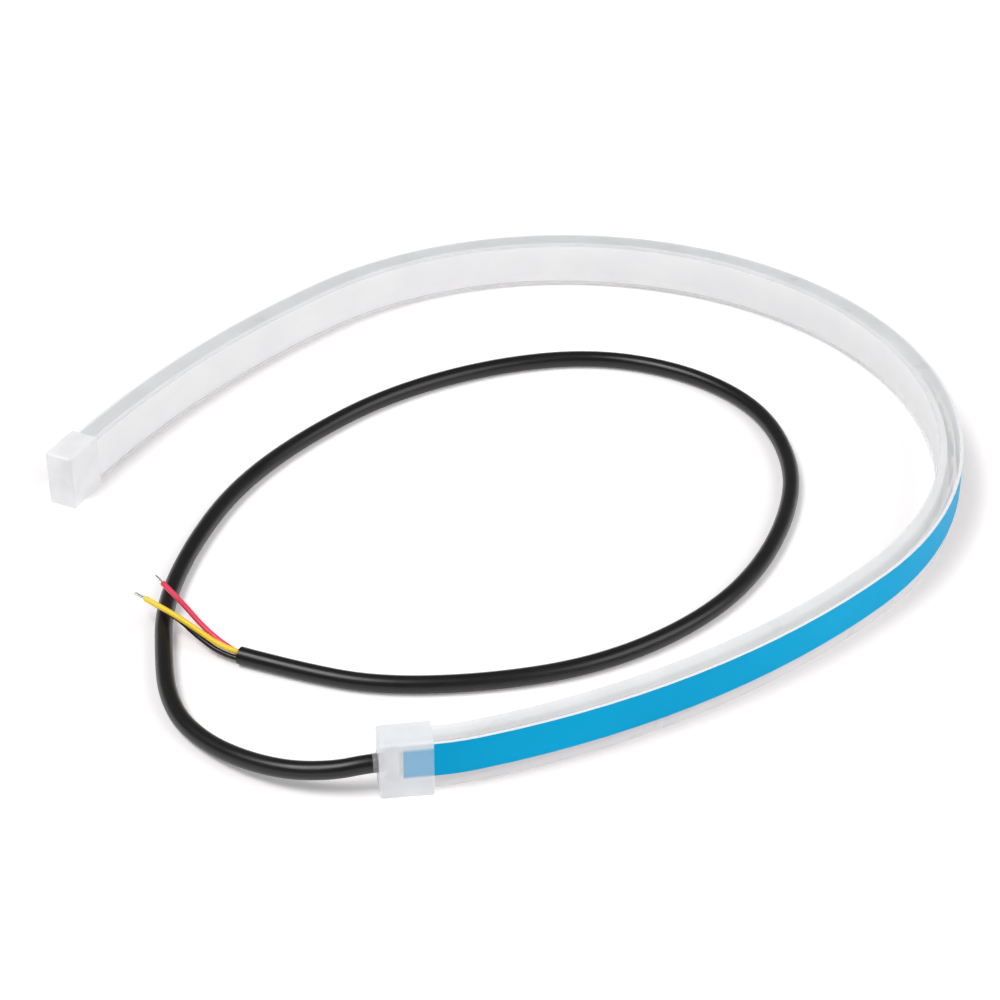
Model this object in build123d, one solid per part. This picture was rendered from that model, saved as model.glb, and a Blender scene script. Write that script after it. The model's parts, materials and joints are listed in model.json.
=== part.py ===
from build123d import *

import math
import os

os.makedirs("parts", exist_ok=True)

# A flexible daytime running light, standing on its long edge and bent into a C.
# Millimetres, +Z up, +X to the right and +Y away from the viewer.
# The origin is under the middle of the bent strip, on the surface that it stands on.

# Centre line of the strip, from its cable end: straight in a cap, four bends, straight in a cap
STRIP_LENGTH = 600.0
START_X = -27.8
START_Y = -126.02
START_HEADING = 8.0
RIM_RADIUS = 60.0
RIM_TURN = 10.0
FRONT_RADIUS = 251.0
FRONT_TURN = 29.0
BACK_RADIUS = 108.4
BACK_TURN = 176.8
TAIL_RADIUS = 311.0

# Section of the silicone strip
STRIP_HEIGHT = 15.0
STRIP_DEPTH = 5.8
CHANNEL_WALL = 1.3
CHANNEL_BACK = 1.2
CHANNEL_EDGE_RADIUS = 0.4
LENS_DEPTH = 2.2
LENS_STEP = 0.4
LENS_CROWN = 0.3

# Foam tape and liner on the back of the channel, nearer to its upper edge
TAPE_WIDTH = 10.0
TAPE_MARGIN = 0.5
TAPE_THICKNESS = 0.8
LINER_THICKNESS = 0.1
TAPE_INSET = 1.5

# Moulded end caps
CAP_WALL = 1.0
CAP_SOCKET = 9.0
SOCKET_MARGIN = 0.5
CAP_CHAMBER = 2.5
CAP_END_WALL = 2.0
CAP_EDGE_RADIUS = 0.8
CAP_END_RADIUS = 0.7
CAP_RIM_RADIUS = 0.3
CHAMBER_MARGIN = 2.0

# Flexible circuit board and the parts on it
BOARD_WIDTH = 10.0
BOARD_THICKNESS = 0.3
BOARD_INSET = 1.0
SOLDER_FILM = 0.05
LED_LENGTH = 2.8
LED_WIDTH = 3.5
LED_THICKNESS = 0.8
LED_RIM = 0.4
LED_DISH = 0.3
LED_ROW_OFFSET = 2.4
LED_PITCH = 16.0
LEDS_PER_GROUP = 3
LAMP_MARGIN = 10.0
RESISTOR_LENGTH = 3.2
RESISTOR_WIDTH = 1.6
RESISTOR_THICKNESS = 0.55
RESISTOR_TERMINAL = 0.5
RESISTOR_STEP = 0.08
CHIP_LENGTH = 2.9
CHIP_WIDTH = 1.4
CHIP_THICKNESS = 1.0
CHIP_BEVEL = 0.25
CHIP_LEG_WIDTH = 0.4
CHIP_LEG_REACH = 0.6
CHIP_LEG_THICKNESS = 0.2
CHIP_LEG_SPACING = 0.95
PAD_SPACING = 3.0
PAD_DISTANCE = 4.0
SOLDER_RADIUS = 1.0

# Cable, its wires and its sealant
CABLE_DIAMETER = 4.8
WIRE_DIAMETER = 1.5
CONDUCTOR_DIAMETER = 0.8
CORE_CIRCLE_RADIUS = 0.98
TIP_LENGTH = 3.5
TAIL_RUN = 0.8
TAIL_BEND = 0.9
SEAL_WIDTH = 1.2
SEAL_LENGTH = 1.3
SEAL_HOLLOW = 0.3
ARC_SHARE = 0.45

# Route of the cable's centre: out of the cap, down to the surface, round the loop
CABLE_ROUTE = [
    (-30.213, -126.814, 8.5),
    (-42.096, -128.484, 8.5),
    (-57.0, -127.2, 5.6),
    (-71.5, -116.5, 2.9),
    (-83.5, -103.5, 2.45),
    (-90.0, -80.0, 2.45),
    (-92.8, -54.0, 2.45),
    (-88.0, -25.5, 2.45),
    (-78.0, 3.5, 2.45),
    (-61.0, 29.0, 2.45),
    (-36.5, 54.0, 2.45),
    (-5.0, 71.0, 2.45),
    (27.0, 77.0, 2.45),
    (55.5, 67.5, 2.45),
    (76.0, 46.5, 2.45),
    (83.3, 15.5, 2.45),
    (78.5, -14.0, 2.45),
    (65.5, -43.5, 2.45),
    (46.5, -65.0, 2.45),
    (22.0, -80.5, 2.45),
    (-5.5, -87.5, 2.45),
    (-33.0, -88.8, 2.45),
    (-53.5, -83.0, 2.45),
    (-70.4, -75.8, 2.45),
]

# Routes of the wires past the end of the jacket: they fan out and rise over the loop
BLACK_ROUTE = [
    (-70.74, -76.6, 1.95),
    (-75.34, -74.64, 1.95),
    (-82.1, -68.9, 3.4),
    (-88.2, -63.1, 5.9),
    (-95.9, -57.8, 7.0),
]
RED_ROUTE = [
    (-70.06, -75.0, 1.95),
    (-74.66, -73.04, 1.95),
    (-81.7, -66.7, 5.0),
    (-86.4, -57.2, 6.3),
    (-92.9, -50.9, 7.8),
]
YELLOW_ROUTE = [
    (-70.4, -75.8, 3.45),
    (-75.0, -73.84, 3.45),
    (-83.2, -68.6, 6.4),
    (-90.2, -63.4, 7.8),
    (-96.6, -59.2, 8.7),
]

# Places across the depth of the strip, counted from its middle towards the inside of the bend
BACK_FACE = -STRIP_DEPTH / 2
RIM_FACE = STRIP_DEPTH / 2
BOARD_BACK = BACK_FACE + CHANNEL_BACK
BOARD_FACE = BOARD_BACK + BOARD_THICKNESS
LENS_BACK = RIM_FACE - LENS_DEPTH
TAPE_FACE = BACK_FACE - TAPE_THICKNESS
LINER_FACE = TAPE_FACE - LINER_THICKNESS
CAP_MIDDLE = (LINER_FACE + RIM_FACE) / 2

INNER_HEIGHT = STRIP_HEIGHT - 2 * CHANNEL_WALL
TAPE_MIDDLE = STRIP_HEIGHT / 2 - TAPE_MARGIN - TAPE_WIDTH / 2
STRAIGHT_END = CAP_SOCKET + SOCKET_MARGIN
MIDDLE_Z = CAP_WALL + STRIP_HEIGHT / 2
CABLE_RADIUS = CABLE_DIAMETER / 2
CONDUCTOR_RADIUS = CONDUCTOR_DIAMETER / 2
PAD_HEIGHTS = (0, PAD_SPACING, -PAD_SPACING)
GROUP_COUNT = int((STRIP_LENGTH - 2 * LAMP_MARGIN) // (LEDS_PER_GROUP * LED_PITCH))


def centre_line_spans():
    """Length and radius of each span of the centre line; a straight span has no radius."""
    rim = RIM_RADIUS * math.radians(RIM_TURN)
    front = FRONT_RADIUS * math.radians(FRONT_TURN)
    back = BACK_RADIUS * math.radians(BACK_TURN)
    tail = STRIP_LENGTH - 2 * STRAIGHT_END - rim - front - back
    return [
        (STRAIGHT_END, None),
        (rim, RIM_RADIUS),
        (front, FRONT_RADIUS),
        (back, BACK_RADIUS),
        (tail, TAIL_RADIUS),
        (STRAIGHT_END, None),
    ]


SPANS = centre_line_spans()


def station(distance):
    """Point of the centre line and its heading, a distance along from the cable end."""
    x, y = START_X, START_Y
    heading = math.radians(START_HEADING)
    left = distance
    for number, (length, radius) in enumerate(SPANS):
        last = number == len(SPANS) - 1
        step = left if last else min(left, length)
        if radius is None:
            x += step * math.cos(heading)
            y += step * math.sin(heading)
        else:
            turned = heading + step / radius
            x += radius * (math.sin(turned) - math.sin(heading))
            y += radius * (math.cos(heading) - math.cos(turned))
            heading = turned
        left -= step
        if left <= 0:
            break
    return Vector(x, y, MIDDLE_Z), heading


def section_plane(distance):
    """Plane across the strip: its X runs to the inside of the bend, its Y up, its Z along."""
    point, heading = station(distance)
    along = Vector(math.cos(heading), math.sin(heading), 0)
    inward = Vector(-math.sin(heading), math.cos(heading), 0)
    return Plane(origin=point, x_dir=inward, z_dir=along)


def centre_line(begin, end):
    """The centre line between two distances, as tangent lines and arcs."""
    edges = []
    reached = 0.0
    for length, radius in SPANS:
        first = max(begin, reached)
        last = min(end, reached + length)
        reached += length
        if last <= first:
            continue
        first_point, last_point = station(first)[0], station(last)[0]
        if radius is None:
            edges.append(Line(first_point, last_point))
        else:
            middle_point = station((first + last) / 2)[0]
            edges.append(ThreePointArc(first_point, middle_point, last_point))
    return Wire(edges)


def ribbon(profile, begin, end):
    """A section carried along the centre line."""
    return sweep(section_plane(begin) * profile, path=centre_line(begin, end))


def layer(first, last, height, middle=0):
    """Rectangle of the section between two depths, about a level above the strip's middle."""
    return Pos((first + last) / 2, middle) * Rectangle(last - first, height)


def strip_outline():
    """Outer outline of the silicone strip without its lens crown."""
    block = Rectangle(STRIP_DEPTH, STRIP_HEIGHT)
    return fillet(block.vertices(), CHANNEL_EDGE_RADIUS)


def lens_profile():
    """The lens: flat behind, crowned in front and set back a little beside the rims."""
    half = INNER_HEIGHT / 2
    edge = RIM_FACE - LENS_STEP
    sides = Polyline((edge, half), (LENS_BACK, half), (LENS_BACK, -half), (edge, -half))
    crown = ThreePointArc((edge, -half), (RIM_FACE + LENS_CROWN, 0), (edge, half))
    return make_face(sides + crown)


def make_channel():
    mouth = layer(BOARD_BACK, RIM_FACE, INNER_HEIGHT)
    return ribbon(strip_outline() - mouth, 0, STRIP_LENGTH)


def make_lens():
    return ribbon(lens_profile(), 0, STRIP_LENGTH)


def make_tape():
    profile = layer(TAPE_FACE, BACK_FACE, TAPE_WIDTH, TAPE_MIDDLE)
    return ribbon(profile, TAPE_INSET, STRIP_LENGTH - TAPE_INSET)


def make_liner():
    profile = layer(LINER_FACE, TAPE_FACE, TAPE_WIDTH, TAPE_MIDDLE)
    return ribbon(profile, TAPE_INSET, STRIP_LENGTH - TAPE_INSET)


def make_board():
    return ribbon(layer(BOARD_BACK, BOARD_FACE, BOARD_WIDTH), BOARD_INSET, STRIP_LENGTH - BOARD_INSET)


def make_cap(cable_hole):
    """Moulded cap pushed over the cable end, drawn in the section's own axes."""
    closed = CAP_CHAMBER + CAP_END_WALL
    width = RIM_FACE - LINER_FACE + 2 * CAP_WALL
    height = STRIP_HEIGHT + 2 * CAP_WALL
    outline = RectangleRounded(width, height, CAP_EDGE_RADIUS)
    block = Pos(0, 0, -closed) * extrude(outline, closed + CAP_SOCKET)
    block = fillet(block.faces().sort_by(Axis.Z)[0].edges(), CAP_END_RADIUS)
    block = fillet(block.faces().sort_by(Axis.Z)[-1].edges(), CAP_RIM_RADIUS)
    block = Pos(CAP_MIDDLE, 0, 0) * block
    tape = layer(LINER_FACE, BOARD_BACK, TAPE_WIDTH, TAPE_MIDDLE)
    held = strip_outline() + lens_profile() + tape
    chamber = Rectangle(STRIP_DEPTH - CHAMBER_MARGIN, STRIP_HEIGHT - 2 * CHAMBER_MARGIN)
    chamber = Pos(CAP_MIDDLE, 0) * chamber
    cap = block - extrude(held, CAP_SOCKET) - extrude(chamber, -CAP_CHAMBER)
    if cable_hole:
        hole = Pos(CAP_MIDDLE, 0, -closed) * extrude(Circle(CABLE_RADIUS), CAP_END_WALL)
        cap -= hole
    return cap


def make_seal(plane):
    """Concave bead of sealant between the cable and the cap's end face."""
    inner, outer = CABLE_RADIUS, CABLE_RADIUS + SEAL_WIDTH
    hollow = (inner + SEAL_WIDTH * SEAL_HOLLOW, -SEAL_LENGTH * SEAL_HOLLOW)
    corner = Polyline((outer, 0), (inner, 0), (inner, -SEAL_LENGTH))
    flank = ThreePointArc((inner, -SEAL_LENGTH), hollow, (outer, 0))
    bead = revolve(Plane.XZ * make_face(corner + flank), Axis.Z)
    return plane * Pos(CAP_MIDDLE, 0, -CAP_CHAMBER - CAP_END_WALL) * bead


def on_board(piece, distance, offset):
    """Set a piece, drawn lying on the plane z = 0, on the board at a distance and a height."""
    place = Pos(BOARD_FACE + SOLDER_FILM, offset, 0) * Rot(0, 90, 0)
    return section_plane(distance) * place * piece


def led():
    """Surface-mount lamp with a dished face. Its length lies along the strip."""
    body = Pos(0, 0, LED_THICKNESS / 2) * Box(LED_LENGTH, LED_WIDTH, LED_THICKNESS)
    dish = extrude(Rectangle(LED_LENGTH - 2 * LED_RIM, LED_WIDTH - 2 * LED_RIM), -LED_DISH)
    return body - Pos(0, 0, LED_THICKNESS) * dish


def resistor():
    """Chip resistor, lower between its two end terminals."""
    half = RESISTOR_LENGTH / 2
    land = half - RESISTOR_TERMINAL
    low = RESISTOR_THICKNESS - RESISTOR_STEP
    outline = Polyline(
        (-half, 0), (half, 0), (half, RESISTOR_THICKNESS), (land, RESISTOR_THICKNESS), (land, low),
        (-land, low), (-land, RESISTOR_THICKNESS), (-half, RESISTOR_THICKNESS), close=True,
    )
    return extrude(Plane.XZ * make_face(outline), RESISTOR_WIDTH / 2, both=True)


def chip():
    """Three-legged driver chip with bevelled sides."""
    base = Rectangle(CHIP_LENGTH, CHIP_WIDTH)
    top = Rectangle(CHIP_LENGTH - 2 * CHIP_BEVEL, CHIP_WIDTH - 2 * CHIP_BEVEL)
    body = loft([base, Pos(0, 0, CHIP_THICKNESS) * top])
    leg = Box(CHIP_LEG_WIDTH, CHIP_LEG_REACH + CHIP_WIDTH / 2, CHIP_LEG_THICKNESS)
    reach = (CHIP_LEG_REACH + CHIP_WIDTH / 2) / 2
    for along, side in ((-CHIP_LEG_SPACING, -1), (CHIP_LEG_SPACING, -1), (0, 1)):
        body += Pos(along, side * reach, CHIP_LEG_THICKNESS / 2) * leg
    return body


def lamp_distances():
    """Distances of the lamps of one row, in groups, centred on the strip's length."""
    count = LEDS_PER_GROUP * GROUP_COUNT
    first = (STRIP_LENGTH - (count - 1) * LED_PITCH) / 2
    return [first + number * LED_PITCH for number in range(count)]


def make_lamps(offset):
    return [on_board(led(), distance, offset) for distance in lamp_distances()]


def group_places(lamp_number):
    """Distances half a pitch past the same lamp of every group."""
    return [distance + LED_PITCH / 2 for distance in lamp_distances()[lamp_number::LEDS_PER_GROUP]]


def make_resistors():
    rows = (LED_ROW_OFFSET, -LED_ROW_OFFSET)
    return [on_board(resistor(), distance, row) for row in rows for distance in group_places(0)]


def make_chips():
    return [on_board(chip(), distance, 0) for distance in group_places(1)]


def core_angles():
    """Angles of the three cores about the cable's middle: one towards the lens, two towards the board."""
    return [number * 360 / len(PAD_HEIGHTS) for number in range(len(PAD_HEIGHTS))]


def make_tails(plane):
    """Bare conductors from the end of the cable to the pads of the board."""
    pad_depth = BOARD_FACE + SOLDER_FILM + CONDUCTOR_RADIUS
    tails = []
    for angle, height in zip(core_angles(), PAD_HEIGHTS):
        across = CAP_MIDDLE + CORE_CIRCLE_RADIUS * math.cos(math.radians(angle))
        up = CORE_CIRCLE_RADIUS * math.sin(math.radians(angle))
        path = FilletPolyline(
            (across, up, -CAP_CHAMBER),
            (across, up, -CAP_CHAMBER + TAIL_RUN),
            (pad_depth, height, PAD_DISTANCE - SOLDER_RADIUS),
            (pad_depth, height, PAD_DISTANCE),
            radius=TAIL_BEND,
        )
        circle = Pos(across, up, -CAP_CHAMBER) * Circle(CONDUCTOR_RADIUS)
        tails.append(plane * sweep(circle, path=path))
    return tails


def make_solder(plane, tails):
    """Domes of solder round the ends of the conductors."""
    on_base = (Align.CENTER, Align.CENTER, Align.MIN)
    dome = Rot(0, 90, 0) * Sphere(SOLDER_RADIUS, arc_size1=0, align=on_base)
    return [
        plane * Pos(BOARD_FACE, height, PAD_DISTANCE) * dome - tail
        for height, tail in zip(PAD_HEIGHTS, tails)
    ]


def route_path(points):
    """Straight runs joined by tangent arcs, each as large as its two runs allow."""
    corners = [Vector(*point) for point in points]
    radii = []
    for before, corner, after in zip(corners, corners[1:], corners[2:]):
        turn = math.radians((corner - before).get_angle(after - corner))
        shorter = min((corner - before).length, (after - corner).length)
        radii.append(ARC_SHARE * shorter / math.tan(turn / 2))
    return FilletPolyline(*points, radius=radii), radii


def make_cord(name, points, diameter):
    """Tube along a route."""
    path, radii = route_path(points)
    start = Plane(origin=path @ 0, z_dir=path % 0)
    tube = sweep(start * Circle(diameter / 2), path=path)
    share = tube.volume / (math.pi * diameter**2 / 4 * path.length)
    print(f"{name}: length {path.length:.1f}, volume over section times length {share:.4f}")
    print("  radii", ", ".join(f"{radius:.0f}" for radius in radii))
    return tube


def make_tip(points):
    """Stripped and tinned end of a wire, straight on from its last run."""
    end = Vector(*points[-1])
    along = end - Vector(*points[-2])
    return extrude(Plane(origin=end, z_dir=along) * Circle(CONDUCTOR_RADIUS), TIP_LENGTH)


cable_end = section_plane(0)
far_end = section_plane(STRIP_LENGTH)
tails = make_tails(cable_end)

pieces = {
    "clear_channel": make_channel(),
    "milky_lens": make_lens(),
    "adhesive_tape": make_tape(),
    "release_liner": make_liner(),
    "cable_cap": cable_end * make_cap(cable_hole=True),
    "blind_cap": far_end * mirror(make_cap(cable_hole=False), about=Plane.XY),
    "cable_seal": make_seal(cable_end),
    "led_board": make_board(),
    "white_leds": make_lamps(LED_ROW_OFFSET),
    "amber_leds": make_lamps(-LED_ROW_OFFSET),
    "resistors": make_resistors(),
    "driver_chips": make_chips(),
    "conductor_tails": tails,
    "solder_joints": make_solder(cable_end, tails),
    "cable_jacket": make_cord("cable_jacket", CABLE_ROUTE, CABLE_DIAMETER),
}

for colour, route in (("black", BLACK_ROUTE), ("red", RED_ROUTE), ("yellow", YELLOW_ROUTE)):
    pieces[f"{colour}_wire"] = make_cord(f"{colour}_wire", route, WIRE_DIAMETER)
    pieces[f"{colour}_wire_tip"] = make_tip(route)

for name, piece in pieces.items():
    solids = piece if isinstance(piece, list) else [piece]
    export_step(Compound([solid for item in solids for solid in item.solids()]), f"parts/{name}.step")
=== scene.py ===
import json
import math

import bpy
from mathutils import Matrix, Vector


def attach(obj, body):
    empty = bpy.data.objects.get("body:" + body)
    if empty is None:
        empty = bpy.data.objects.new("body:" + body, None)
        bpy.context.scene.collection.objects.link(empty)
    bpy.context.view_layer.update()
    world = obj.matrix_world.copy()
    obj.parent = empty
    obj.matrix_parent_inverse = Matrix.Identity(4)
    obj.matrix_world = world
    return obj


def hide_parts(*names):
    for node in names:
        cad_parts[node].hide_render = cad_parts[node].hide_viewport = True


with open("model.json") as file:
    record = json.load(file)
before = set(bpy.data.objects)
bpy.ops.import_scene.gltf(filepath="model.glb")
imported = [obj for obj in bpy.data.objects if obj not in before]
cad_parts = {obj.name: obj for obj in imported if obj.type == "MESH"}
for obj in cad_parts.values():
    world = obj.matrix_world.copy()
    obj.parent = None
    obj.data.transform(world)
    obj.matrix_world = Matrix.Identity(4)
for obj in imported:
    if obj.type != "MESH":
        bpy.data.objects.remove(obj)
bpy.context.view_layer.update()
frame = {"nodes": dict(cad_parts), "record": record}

NODES = frame["nodes"]
SLOT_OF_NODE = {entry["node"]: entry["material_slot"] for entry in frame["record"]["subparts"]}
BODY = "root"

# Camera in the photograph's place: metres, degrees, and millimetres for its lens
CAMERA_PLACE = (-0.0022, -0.6343, 0.4283)
CAMERA_PITCH = 34.0
CAMERA_LENS = 96.19
CAMERA_SENSOR = 36.0

# Cable and wires, in metres
CABLE_DIAMETER = 0.0048
WIRE_DIAMETER = 0.0015
TIP_DIAMETER = 0.0008
TIP_LENGTH = 0.0035

# Routes from the part's source: the cable out of its cap, then the wires past its jacket.
# The cable's first points and the red wire's are moved a little, to follow the photograph.
CABLE_ROUTE = [
    (-0.030213, -0.126814, 0.0085),
    (-0.0345, -0.12742, 0.0085),
    (-0.0430, -0.1282, 0.0069),
    (-0.0540, -0.1265, 0.0055),
    (-0.0650, -0.1212, 0.0042),
    (-0.0752, -0.1130, 0.0028),
    (-0.0832, -0.1034, 0.00245),
    (-0.0877, -0.0922, 0.00245),
    (-0.0900, -0.0800, 0.00245),
    (-0.0928, -0.0540, 0.00245),
    (-0.0880, -0.0255, 0.00245),
    (-0.0780, 0.0035, 0.00245),
    (-0.0610, 0.0290, 0.00245),
    (-0.0365, 0.0540, 0.00245),
    (-0.0050, 0.0710, 0.00245),
    (0.0270, 0.0770, 0.00245),
    (0.0555, 0.0675, 0.00245),
    (0.0760, 0.0465, 0.00245),
    (0.0833, 0.0155, 0.00245),
    (0.0785, -0.0140, 0.00245),
    (0.0655, -0.0435, 0.00245),
    (0.0465, -0.0650, 0.00245),
    (0.0220, -0.0805, 0.00245),
    (-0.0055, -0.0875, 0.00245),
    (-0.0330, -0.0888, 0.00245),
    (-0.0535, -0.0830, 0.00245),
    (-0.0704, -0.0758, 0.00245),
]
WIRE_ROUTES = {
    "black": [
        (-0.07074, -0.0766, 0.00195),
        (-0.07534, -0.07464, 0.00195),
        (-0.0821, -0.0689, 0.0034),
        (-0.0882, -0.0631, 0.0059),
        (-0.0959, -0.0578, 0.0070),
    ],
    "red": [
        (-0.07006, -0.0750, 0.00195),
        (-0.0743, -0.0722, 0.0027),
        (-0.0805, -0.0668, 0.0046),
        (-0.0868, -0.0584, 0.0065),
        (-0.0929, -0.0509, 0.0078),
    ],
    "yellow": [
        (-0.0704, -0.0758, 0.00345),
        (-0.0750, -0.07384, 0.00345),
        (-0.0832, -0.0686, 0.0064),
        (-0.0902, -0.0634, 0.0078),
        (-0.0966, -0.0592, 0.0087),
    ],
}

# Fineness of a cord's mesh, round it and along each span of its spline
CORD_ROUND_STEPS = 6
CORD_SPAN_STEPS = 16

# Strands of a wire's stripped end: how many lie round the middle one, and how many across the tip
STRAND_COUNT = 6
STRANDS_ACROSS = 3
STRAND_RADIUS = TIP_DIAMETER / (2 * STRANDS_ACROSS)

# Full turns of a strand along the tip, and the fineness of its mesh along it and round it
STRAND_TWISTS = 0.8
STRAND_STEPS = 24
STRAND_SIDES = 8

# Edges that turn by more than these angles, in degrees, stay sharp
NODE_SHARP_ANGLE = 30.0
STRAND_SHARP_ANGLE = 60.0

# Slots that show what lies behind them, and slots that throw no light on what is near
CLEAR_SLOTS = ("clear_silicone", "cap_silicone", "sealant")
NO_BOUNCE_SLOTS = (*CLEAR_SLOTS, "blue_liner")

# The clear pieces press this far into what they touch, in metres, so that no two faces coincide.
# Corners nearer to each other than the other length are one corner, so that each mesh is closed.
PRESS = 0.00001
ONE_CORNER = 0.000001

# Silicone's refractive index, and the share of what lies behind it that a wall hides
SILICONE_IOR = 1.41
CHANNEL_VEIL = 0.68
SEAL_VEIL = 0.35
THIN_CAP_VEIL = 0.33
THICK_CAP_VEIL = 0.88

# Thin window of each cap over the tape: heights of its edges and width of its fade, in metres
WINDOW_TOP = 0.0155
WINDOW_FOOT = 0.0058
WINDOW_FADE = 0.0012

# Stretch of a noise over which a colour, or a number of a shader, changes
TINT_SPAN = (0.35, 0.65)
SPREAD_SPAN = (0.3, 0.7)

# Floor: its size in metres and its colour
FLOOR_SIZE = 6.0
FLOOR_COLOUR = (0.93, 0.91, 0.915)

# How far the floor is lifted to white, near the part and far from it, and these distances in metres
NEAR_LIFT = 0.17
FAR_LIFT = 0.75
NEAR = 0.25
FAR = 1.6

# Studio walls: as dim as AMBIENT above WALL_TOP and white below HORIZON_TOP, both given as the Z of
# a direction that is one long
AMBIENT = 0.22
HORIZON_TOP = 0.03
WALL_TOP = 0.15

# Soft lamps: places and sizes in metres, power in watts
SOFTBOXES = {
    "key": {"place": (-1.0, -0.45, 2.0), "width": 1.34, "depth": 1.05, "power": 35.5},
    "fill": {"place": (1.3, -0.5, 1.0), "width": 1.4, "depth": 1.4, "power": 15.5},
}


# Node helpers

def put(tree, socket, value):
    """Give a socket a plain value, or link it to another node's output."""
    if isinstance(value, bpy.types.NodeSocket):
        tree.links.new(value, socket)
    else:
        socket.default_value = value


def new_surface(name, inputs):
    """A material with these values on its shader; returns it, its node tree and the shader."""
    surface = bpy.data.materials.new(name)
    surface.use_nodes = True
    shader = surface.node_tree.nodes["Principled BSDF"]
    for socket, value in inputs.items():
        put(surface.node_tree, shader.inputs[socket], value)
    return surface, surface.node_tree, shader


def here(tree):
    """Place of a point in the part's own coordinates."""
    return tree.nodes.new("ShaderNodeTexCoord").outputs["Object"]


def calculate(tree, operation, *values, clamp=False):
    """Result of an operation on numbers."""
    node = tree.nodes.new("ShaderNodeMath")
    node.operation = operation
    node.use_clamp = clamp
    for socket, value in zip(node.inputs, values):
        put(tree, socket, value)
    return node.outputs["Value"]


def calculate_vector(tree, operation, result, *values):
    """Result of an operation on vectors, which is the output Vector or Value."""
    node = tree.nodes.new("ShaderNodeVectorMath")
    node.operation = operation
    for socket, value in zip(node.inputs, values):
        put(tree, socket, value)
    return node.outputs[result]


def remap(tree, value, old, new, curve="LINEAR"):
    """Carry a number from one span to another, and hold it at the ends."""
    node = tree.nodes.new("ShaderNodeMapRange")
    node.interpolation_type = curve
    names = ("Value", "From Min", "From Max", "To Min", "To Max")
    for name, given in zip(names, (value, *old, *new)):
        put(tree, node.inputs[name], given)
    return node.outputs["Result"]


def noise(tree, scale, detail, stretch=(1, 1, 1)):
    """Noise in the part's own coordinates, with so many grains to the metre."""
    mapping = tree.nodes.new("ShaderNodeMapping")
    texture = tree.nodes.new("ShaderNodeTexNoise")
    put(tree, mapping.inputs["Vector"], here(tree))
    put(tree, mapping.inputs["Scale"], stretch)
    put(tree, texture.inputs["Vector"], mapping.outputs["Vector"])
    put(tree, texture.inputs["Scale"], scale)
    put(tree, texture.inputs["Detail"], detail)
    return texture.outputs["Fac"]


def tint(tree, shader, factor, dark, light):
    """Let the base colour go from dark to light as a noise rises."""
    ramp = tree.nodes.new("ShaderNodeValToRGB")
    for stop, position, colour in zip(ramp.color_ramp.elements, TINT_SPAN, (dark, light)):
        stop.position = position
        stop.color = (*colour, 1.0)
    put(tree, ramp.inputs["Fac"], factor)
    put(tree, shader.inputs["Base Color"], ramp.outputs["Color"])


def spread(tree, shader, socket, factor, least, most):
    """Let a number of the shader vary with a noise."""
    put(tree, shader.inputs[socket], remap(tree, factor, SPREAD_SPAN, (least, most)))


def emboss(tree, shader, *heights):
    """Bump from pairs of a noise and its depth in metres, one on the other."""
    normal = None
    for factor, depth in heights:
        bump = tree.nodes.new("ShaderNodeBump")
        put(tree, bump.inputs["Distance"], depth)
        put(tree, bump.inputs["Height"], factor)
        if normal is not None:
            put(tree, bump.inputs["Normal"], normal)
        normal = bump.outputs["Normal"]
    put(tree, shader.inputs["Normal"], normal)


def veil(tree, shader, share):
    """Let a wall hide this share of what lies behind it, counted once, where a ray enters it."""
    behind = tree.nodes.new("ShaderNodeNewGeometry").outputs["Backfacing"]
    put(tree, shader.inputs["Alpha"], remap(tree, behind, (0.0, 1.0), (share, 0.0)))


def cap_veil(tree, place, direction):
    """A cap wall's veil, which goes from thin to thick on the way to a plane."""
    offset = calculate_vector(tree, "SUBTRACT", "Vector", here(tree), place)
    distance = calculate_vector(tree, "DOT_PRODUCT", "Value", offset, direction)
    return remap(tree, distance, (-WINDOW_FADE, 0.0), (THIN_CAP_VEIL, THICK_CAP_VEIL), "SMOOTHSTEP")


def pale_rim(tree, shader, colour):
    """Give the faces that look up or down, a film's cut edges, a colour of their own."""
    geometry = tree.nodes.new("ShaderNodeNewGeometry")
    parts = tree.nodes.new("ShaderNodeSeparateXYZ")
    blend = tree.nodes.new("ShaderNodeMix")
    blend.data_type = "RGBA"
    base = shader.inputs["Base Color"].links[0].from_socket
    put(tree, parts.inputs["Vector"], geometry.outputs["True Normal"])
    put(tree, blend.inputs["Factor"], calculate(tree, "ABSOLUTE", parts.outputs["Z"]))
    put(tree, blend.inputs["A"], base)
    put(tree, blend.inputs["B"], (*colour, 1.0))
    put(tree, shader.inputs["Base Color"], blend.outputs["Result"])


# Materials

def clear_silicone():
    surface, tree, shader = new_surface("clear_silicone", {"IOR": SILICONE_IOR})
    haze = noise(tree, scale=70, detail=3)
    draw_lines = noise(tree, scale=40, detail=3, stretch=(1, 1, 30))
    tint(tree, shader, haze, (0.72, 0.73, 0.75), (0.78, 0.79, 0.81))
    spread(tree, shader, "Roughness", haze, 0.26, 0.36)
    emboss(tree, shader, (draw_lines, 0.00003))
    veil(tree, shader, CHANNEL_VEIL)
    return surface


def milky_silicone():
    surface, tree, shader = new_surface("milky_silicone", {
        "Subsurface Weight": 0.6,
        "Subsurface Radius": (1.0, 0.97, 0.94),
        "Subsurface Scale": 0.003,
        "IOR": SILICONE_IOR,
    })
    cloud = noise(tree, scale=45, detail=4)
    draw_lines = noise(tree, scale=40, detail=3, stretch=(1, 1, 25))
    tint(tree, shader, cloud, (0.88, 0.88, 0.895), (0.93, 0.93, 0.94))
    spread(tree, shader, "Roughness", cloud, 0.4, 0.5)
    emboss(tree, shader, (draw_lines, 0.00004))
    return surface


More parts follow.
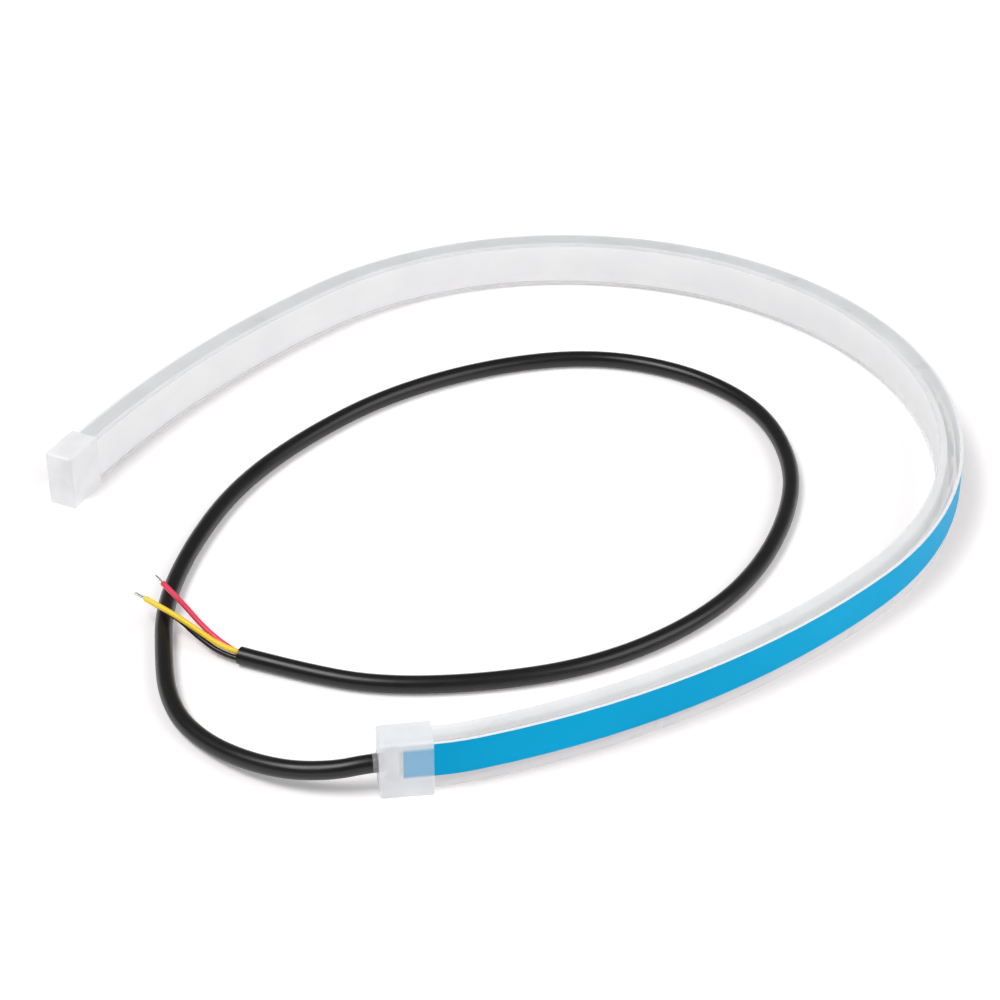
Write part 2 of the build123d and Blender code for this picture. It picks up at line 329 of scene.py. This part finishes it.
def cap_silicone(name, dark, light, strip_end, outward, inward):
    """Milky silicone, thin over the tape, and thick all round it and on the inside of the bend."""
    surface, tree, shader = new_surface(name, {"IOR": SILICONE_IOR})
    cloud = noise(tree, scale=180, detail=4)
    grain = noise(tree, scale=1500, detail=3)
    tint(tree, shader, cloud, dark, light)
    spread(tree, shader, "Roughness", cloud, 0.28, 0.4)
    emboss(tree, shader, (cloud, 0.00006), (grain, 0.00001))
    share = cap_veil(tree, strip_end, outward)
    others = (
        (strip_end, inward),
        ((0, 0, WINDOW_TOP), (0, 0, 1)),
        ((0, 0, WINDOW_FOOT), (0, 0, -1)),
    )
    for place, direction in others:
        share = calculate(tree, "MAXIMUM", share, cap_veil(tree, place, direction))
    veil(tree, shader, share)
    return surface


def sealant():
    surface, tree, shader = new_surface("sealant", {"IOR": SILICONE_IOR})
    lumps = noise(tree, scale=900, detail=3)
    tint(tree, shader, lumps, (0.5, 0.5, 0.52), (0.64, 0.64, 0.66))
    spread(tree, shader, "Roughness", lumps, 0.05, 0.14)
    emboss(tree, shader, (lumps, 0.0002))
    veil(tree, shader, SEAL_VEIL)
    return surface


def foam_tape():
    surface, tree, shader = new_surface("foam_tape", {"Roughness": 0.9})
    pores = noise(tree, scale=3500, detail=4)
    tint(tree, shader, pores, (0.74, 0.75, 0.77), (0.9, 0.91, 0.92))
    emboss(tree, shader, (pores, 0.0001))
    return surface


def blue_liner():
    surface, tree, shader = new_surface("blue_liner", {"Specular IOR Level": 0.05})
    sweep_of_tone = noise(tree, scale=18, detail=2)
    fibre = noise(tree, scale=2500, detail=3)
    ripple = noise(tree, scale=110, detail=2, stretch=(1, 1, 0.4))
    tint(tree, shader, sweep_of_tone, (0.0, 0.36, 0.66), (0.0, 0.4, 0.715))
    pale_rim(tree, shader, (0.8, 0.88, 0.92))
    spread(tree, shader, "Roughness", fibre, 0.36, 0.5)
    emboss(tree, shader, (ripple, 0.0001), (fibre, 0.00001))
    return surface


def solder_mask():
    surface, tree, shader = new_surface("solder_mask", {"Roughness": 0.5})
    print_grain = noise(tree, scale=1800, detail=3)
    tint(tree, shader, print_grain, (0.8, 0.8, 0.77), (0.88, 0.88, 0.86))
    emboss(tree, shader, (print_grain, 0.00002))
    return surface


def phosphor(name, dark, light):
    surface, tree, shader = new_surface(name, {"Coat Weight": 0.6, "Coat Roughness": 0.2})
    powder = noise(tree, scale=4000, detail=3)
    tint(tree, shader, powder, dark, light)
    spread(tree, shader, "Roughness", powder, 0.45, 0.6)
    return surface


def chip_body(name, dark, light):
    surface, tree, shader = new_surface(name, {"Specular IOR Level": 0.4})
    grit = noise(tree, scale=5000, detail=3)
    tint(tree, shader, grit, dark, light)
    spread(tree, shader, "Roughness", grit, 0.4, 0.6)
    emboss(tree, shader, (grit, 0.00002))
    return surface


def tinned_metal(name, least, most):
    """Bright tin whose roughness varies between these two."""
    surface, tree, shader = new_surface(name, {"Metallic": 1.0})
    skin = noise(tree, scale=3000, detail=3)
    tint(tree, shader, skin, (0.6, 0.6, 0.59), (0.8, 0.8, 0.78))
    spread(tree, shader, "Roughness", skin, least, most)
    emboss(tree, shader, (skin, 0.00003))
    return surface


def soft_pvc(name, dark, light, gloss):
    surface, tree, shader = new_surface(name, {"Specular IOR Level": gloss})
    tone = noise(tree, scale=120, detail=3)
    skin = noise(tree, scale=2600, detail=3)
    tint(tree, shader, tone, dark, light)
    spread(tree, shader, "Roughness", tone, 0.3, 0.36)
    emboss(tree, shader, (skin, 0.00001))
    return surface


SURFACES = {
    "clear_silicone": clear_silicone(),
    "milky_silicone": milky_silicone(),
    "sealant": sealant(),
    "foam_tape": foam_tape(),
    "blue_liner": blue_liner(),
    "board": solder_mask(),
    "white_lamp": phosphor("white_lamp", (0.8, 0.73, 0.42), (0.86, 0.8, 0.5)),
    "amber_lamp": phosphor("amber_lamp", (0.8, 0.42, 0.08), (0.88, 0.5, 0.12)),
    "resistor": chip_body("resistor", (0.03, 0.03, 0.03), (0.06, 0.06, 0.06)),
    "chip": chip_body("chip", (0.02, 0.02, 0.02), (0.04, 0.04, 0.04)),
    "tinned_copper": tinned_metal("tinned_copper", 0.25, 0.4),
    "solder": tinned_metal("solder", 0.15, 0.3),
    "black_pvc": soft_pvc("black_pvc", (0.003, 0.0028, 0.0028), (0.005, 0.0045, 0.0045), 0.48),
    "red_pvc": soft_pvc("red_pvc", (0.78, 0.045, 0.1), (0.86, 0.06, 0.13), 0.4),
    "yellow_pvc": soft_pvc("yellow_pvc", (0.88, 0.58, 0.015), (0.95, 0.66, 0.03), 0.4),
}

# The caps' surfaces, with the strip's end in each cap, the way out of it and the inside of the bend.
# Both caps are one silicone: the cable cap's colours are painted darker as painted shade, and the blind
# cap's lighter as painted light, for how each cap is lit.
CAP_SURFACES = {
    "cable_cap": cap_silicone(
        "cable_cap_silicone_painted_shade", (0.76, 0.785, 0.82), (0.82, 0.84, 0.865),
        strip_end=(-0.0278, -0.1260, 0), outward=(-0.990, -0.139, 0), inward=(-0.139, 0.990, 0)),
    "blind_cap": cap_silicone(
        "blind_cap_silicone_painted_light", (0.84, 0.84, 0.86), (0.9, 0.9, 0.915),
        strip_end=(-0.1247, 0.0013, 0), outward=(-0.440, -0.898, 0), inward=(0.898, -0.440, 0)),
}


# Solids of the frame

def dress_nodes():
    """Give every node of the frame the surface of its slot, smooth but for its real edges."""
    for name, node in NODES.items():
        mesh = node.data
        mesh.materials.clear()
        slot = SLOT_OF_NODE[name]
        mesh.materials.append(CAP_SURFACES[name] if name in CAP_SURFACES else SURFACES[slot])
        mesh.shade_smooth()
        node.visible_diffuse = slot not in NO_BOUNCE_SLOTS
        weld = node.modifiers.new("weld", "WELD")
        weld.merge_threshold = ONE_CORNER
        if slot in CLEAR_SLOTS:
            node.visible_shadow = False
            press = node.modifiers.new("press", "DISPLACE")
            press.strength = PRESS
            press.mid_level = 0.0
        edges = node.modifiers.new("edges", "EDGE_SPLIT")
        edges.split_angle = math.radians(NODE_SHARP_ANGLE)


# New objects

def add_object(name, data):
    """An object with this data, in the scene."""
    item = bpy.data.objects.new(name, data)
    bpy.context.scene.collection.objects.link(item)
    return item


# Wire tips

def swing(axes, turn, radius):
    """Step of this length square to a wire, at an angle about it."""
    first, second = axes
    return radius * (math.cos(turn) * first + math.sin(turn) * second)


def strand_corners(start, end, axes, number):
    """Rings of corners along one strand; the last strand is the one in the middle."""
    orbit = 0.0 if number == STRAND_COUNT else TIP_DIAMETER / 2 - STRAND_RADIUS
    corners = []
    for step in range(STRAND_STEPS + 1):
        share = step / STRAND_STEPS
        turn = 2 * math.pi * (number / STRAND_COUNT + STRAND_TWISTS * share)
        middle = start.lerp(end, share) + swing(axes, turn, orbit)
        for side in range(STRAND_SIDES):
            corners.append(middle + swing(axes, 2 * math.pi * side / STRAND_SIDES, STRAND_RADIUS))
    return corners


def strand_faces(first):
    """Faces of a closed strand whose rings of corners begin with this one."""
    last = first + STRAND_STEPS * STRAND_SIDES
    faces = []
    for low in range(first, last, STRAND_SIDES):
        high = low + STRAND_SIDES
        for side in range(STRAND_SIDES):
            after = (side + 1) % STRAND_SIDES
            faces.append((low + side, low + after, high + after, high + side))
    faces.append(tuple(reversed(range(first, first + STRAND_SIDES))))
    faces.append(tuple(range(last, last + STRAND_SIDES)))
    return faces


def make_tip(name, start, end):
    """Stripped end of a wire: strands twisted round one in the middle, within the tip's diameter."""
    along = (end - start).normalized()
    first_axis = along.orthogonal().normalized()
    axes = (first_axis, along.cross(first_axis))
    corners = []
    faces = []
    for number in range(STRAND_COUNT + 1):
        faces += strand_faces(len(corners))
        corners += strand_corners(start, end, axes, number)
    mesh = bpy.data.meshes.new(name)
    mesh.from_pydata(corners, [], faces)
    mesh.materials.append(SURFACES["tinned_copper"])
    mesh.shade_smooth()
    mesh.set_sharp_from_angle(angle=math.radians(STRAND_SHARP_ANGLE))
    return add_object(name, mesh)


def make_tips():
    tips = {}
    for colour, route in WIRE_ROUTES.items():
        end = Vector(route[-1])
        along = (end - Vector(route[-2])).normalized()
        tips[colour] = make_tip(f"{colour}_strands", end, end + TIP_LENGTH * along)
        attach(tips[colour], BODY)
        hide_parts(f"{colour}_wire_tip")
    return tips


# Cable and wires

def make_cord(name, route, diameter, surface):
    """Smooth round cord whose route is the control points of one spline."""
    curve = bpy.data.curves.new(name, "CURVE")
    curve.dimensions = "3D"
    curve.bevel_depth = diameter / 2
    curve.bevel_resolution = CORD_ROUND_STEPS
    curve.use_fill_caps = True
    curve.resolution_u = CORD_SPAN_STEPS
    spline = curve.splines.new("NURBS")
    spline.points.add(len(route) - 1)
    for point, place in zip(spline.points, route):
        point.co = (*place, 1.0)
    spline.order_u = 3
    spline.use_endpoint_u = True
    curve.materials.append(surface)
    return add_object(name, curve)


def make_cords(tips):
    cable = make_cord("cable_cord", CABLE_ROUTE, CABLE_DIAMETER, SURFACES["black_pvc"])
    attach(cable, BODY)
    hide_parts("cable_jacket")
    for colour, route in WIRE_ROUTES.items():
        wire = make_cord(f"{colour}_cord", route, WIRE_DIAMETER, SURFACES[f"{colour}_pvc"])
        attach(wire, BODY)
        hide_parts(f"{colour}_wire")


# Floor, light and camera

def shows_white(tree):
    """1 for the rays that show a surface directly, in a mirror or through glass, and 0 for its light."""
    path = tree.nodes.new("ShaderNodeLightPath")
    total = path.outputs["Is Camera Ray"]
    for name in ("Is Glossy Ray", "Is Transmission Ray"):
        total = calculate(tree, "ADD", total, path.outputs[name], clamp=True)
    return total


def make_floor():
    surface, tree, shader = new_surface("white_floor", {
        "Base Color": (*FLOOR_COLOUR, 1.0),
        "Roughness": 1.0,
        "Specular IOR Level": 0.0,
        "Emission Color": (1.0, 1.0, 1.0, 1.0),
    })
    distance = calculate_vector(tree, "LENGTH", "Value", here(tree))
    lift = remap(tree, distance, (NEAR, FAR), (NEAR_LIFT, FAR_LIFT))
    put(tree, shader.inputs["Emission Strength"], calculate(tree, "MULTIPLY", lift, shows_white(tree)))
    half = FLOOR_SIZE / 2
    corners = [(-half, -half, 0), (half, -half, 0), (half, half, 0), (-half, half, 0)]
    mesh = bpy.data.meshes.new("floor")
    mesh.from_pydata(corners, [], [(0, 1, 2, 3)])
    mesh.materials.append(surface)
    floor = add_object("floor", mesh)


def make_world():
    """A studio whose walls are white at the horizon and dim above it."""
    world = bpy.data.worlds.new("studio")
    world.use_nodes = True
    tree = world.node_tree
    background = tree.nodes["Background"]
    direction = tree.nodes.new("ShaderNodeTexCoord")
    parts = tree.nodes.new("ShaderNodeSeparateXYZ")
    put(tree, parts.inputs["Vector"], direction.outputs["Generated"])
    strength = remap(tree, parts.outputs["Z"], (HORIZON_TOP, WALL_TOP), (1.0, AMBIENT))
    put(tree, background.inputs["Color"], (1.0, 1.0, 1.0, 1.0))
    put(tree, background.inputs["Strength"], strength)
    bpy.context.scene.world = world


def make_softbox(name, place, width, depth, power):
    """Soft light that looks at the middle of the part."""
    light = bpy.data.lights.new(name, "AREA")
    light.shape = "RECTANGLE"
    light.size = width
    light.size_y = depth
    light.energy = power
    lamp = add_object(name, light)
    lamp.location = place
    lamp.rotation_euler = (-Vector(place)).to_track_quat("-Z", "Y").to_euler()


def make_camera():
    data = bpy.data.cameras.new("camera")
    data.lens = CAMERA_LENS
    data.sensor_width = CAMERA_SENSOR
    camera = add_object("camera", data)
    camera.location = CAMERA_PLACE
    camera.rotation_euler = (math.radians(90 - CAMERA_PITCH), 0, 0)
    bpy.context.scene.camera = camera


dress_nodes()
make_cords(make_tips())
make_floor()
make_world()
for name, settings in SOFTBOXES.items():
    make_softbox(name, **settings)
make_camera()

bpy.context.scene.view_settings.view_transform = "Standard"
